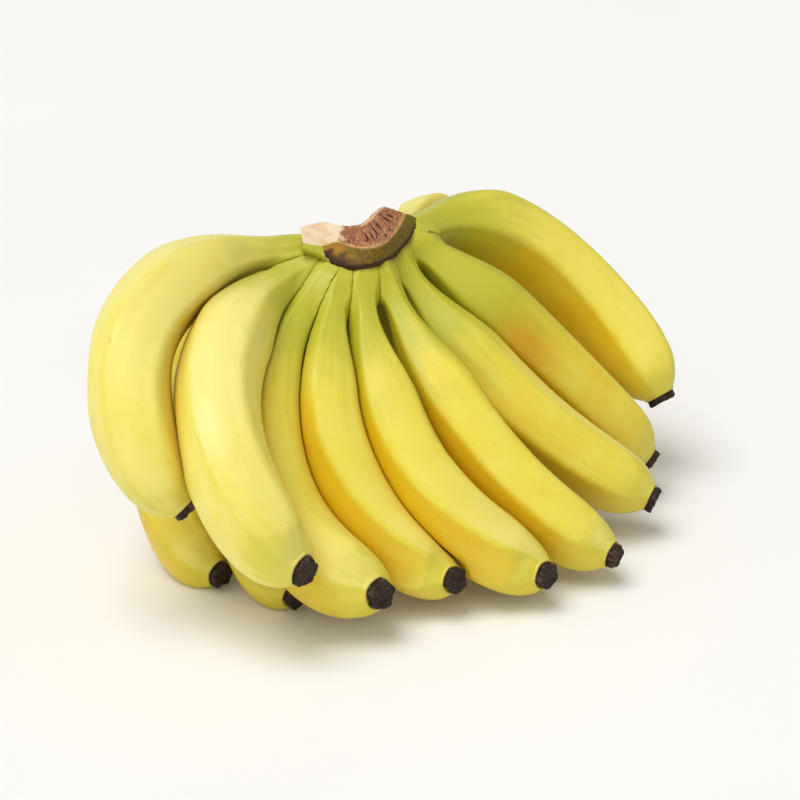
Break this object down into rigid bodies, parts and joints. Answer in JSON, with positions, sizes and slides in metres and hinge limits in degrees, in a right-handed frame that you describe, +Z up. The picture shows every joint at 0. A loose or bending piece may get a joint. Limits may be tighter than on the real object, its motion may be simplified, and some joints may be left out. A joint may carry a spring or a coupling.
{
  "type": "hand of bananas",
  "caption": "Ripe banana hand on its cut crown: two rows of curved yellow fingers with dark dried flower ends, standing on the lowest fingers.",
  "frame": {"origin": "on the surface that the hand stands on, under the middle of its box", "axes": "+X to the right end of the upper row as pictured, along the hand's longest extent, +Y away from the viewer, +Z up out of the crown's cut face"},
  "size_m": [0.2862, 0.283, 0.163],
  "materials": {
    "skin": "waxy ripe yellow peel, greenish at the neck, satin",
    "crown": "cut stalk: dry pinkish-brown face in an olive-brown skin, matte",
    "flower_end": "dried black-brown plant tissue, rough and wrinkled, matte"
  },
  "bodies": {
    "root": {"crown": "crown", "finger_01": "skin", "finger_02": "skin", "finger_03": "skin", "finger_04": "skin", "finger_05": "skin", "finger_06": "skin", "finger_07": "skin", "finger_08": "skin", "finger_09": "skin", "finger_10": "skin", "finger_11": "skin", "finger_12": "skin", "finger_13": "skin", "finger_14": "skin", "finger_15": "skin", "flower_end_01": "flower_end", "flower_end_02": "flower_end", "flower_end_03": "flower_end", "flower_end_04": "flower_end", "flower_end_05": "flower_end", "flower_end_06": "flower_end", "flower_end_07": "flower_end", "flower_end_08": "flower_end", "flower_end_09": "flower_end", "flower_end_10": "flower_end", "flower_end_11": "flower_end", "flower_end_12": "flower_end", "flower_end_13": "flower_end", "flower_end_14": "flower_end", "flower_end_15": "flower_end"}
  },
  "joints": []
}
